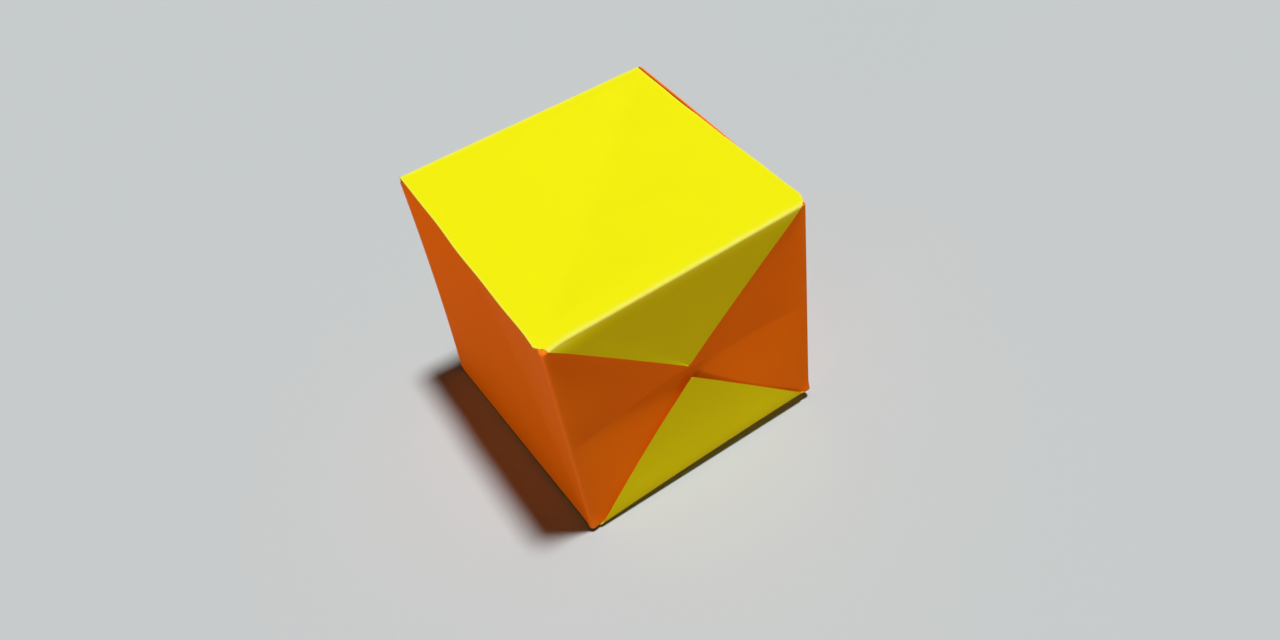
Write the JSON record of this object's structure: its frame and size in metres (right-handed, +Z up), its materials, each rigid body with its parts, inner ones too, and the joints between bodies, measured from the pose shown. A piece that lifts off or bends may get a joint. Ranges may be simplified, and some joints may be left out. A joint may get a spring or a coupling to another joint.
{
  "type": "origami box",
  "caption": "Cube-shaped paper box of interlocked yellow and orange folded strips, with a lid and pointed tips that lie over its front and back.",
  "frame": {"origin": "middle of the bottom, on the surface that the box stands on", "axes": "+Z up, the front with the yellow tips faces -Y, the buckled orange side faces -X"},
  "size_m": [0.0546, 0.0542, 0.055],
  "materials": {
    "yellow_paper": "matte",
    "orange_paper": "matte"
  },
  "bodies": {
    "box": {"orange_sleeve": "orange_paper", "yellow_tray": "yellow_paper"},
    "lid": {"yellow_lid": "yellow_paper"},
    "lid_tip": {"yellow_lid_tip": "yellow_paper"},
    "base_tip": {"yellow_base_tip": "yellow_paper"},
    "left_tip": {"orange_left_tip": "orange_paper"},
    "right_tip": {"orange_right_tip": "orange_paper"}
  },
  "joints": [
    {"name": "lid_fold", "type": "hinge", "parent": "box", "child": "lid", "pos_m": [0, 0.02672, 0.05453], "axis": [-1, 0, 0], "range_deg": [0, 180]},
    {"name": "lid_tip_fold", "type": "hinge", "parent": "lid", "child": "lid_tip", "pos_m": [0, -0.02712, 0.05453], "axis": [-1, 0, 0], "range_deg": [0, 150]},
    {"name": "base_tip_fold", "type": "hinge", "parent": "box", "child": "base_tip", "pos_m": [0, -0.02712, 0.0007], "axis": [1, 0, 0], "range_deg": [0, 90]},
    {"name": "left_tip_fold", "type": "hinge", "parent": "box", "child": "left_tip", "pos_m": [-0.02692, 0.02712, 0.02762], "axis": [0, 0, 1], "range_deg": [0, 180]},
    {"name": "right_tip_fold", "type": "hinge", "parent": "box", "child": "right_tip", "pos_m": [0.02692, 0.02712, 0.02762], "axis": [0, 0, -1], "range_deg": [0, 180]}
  ]
}
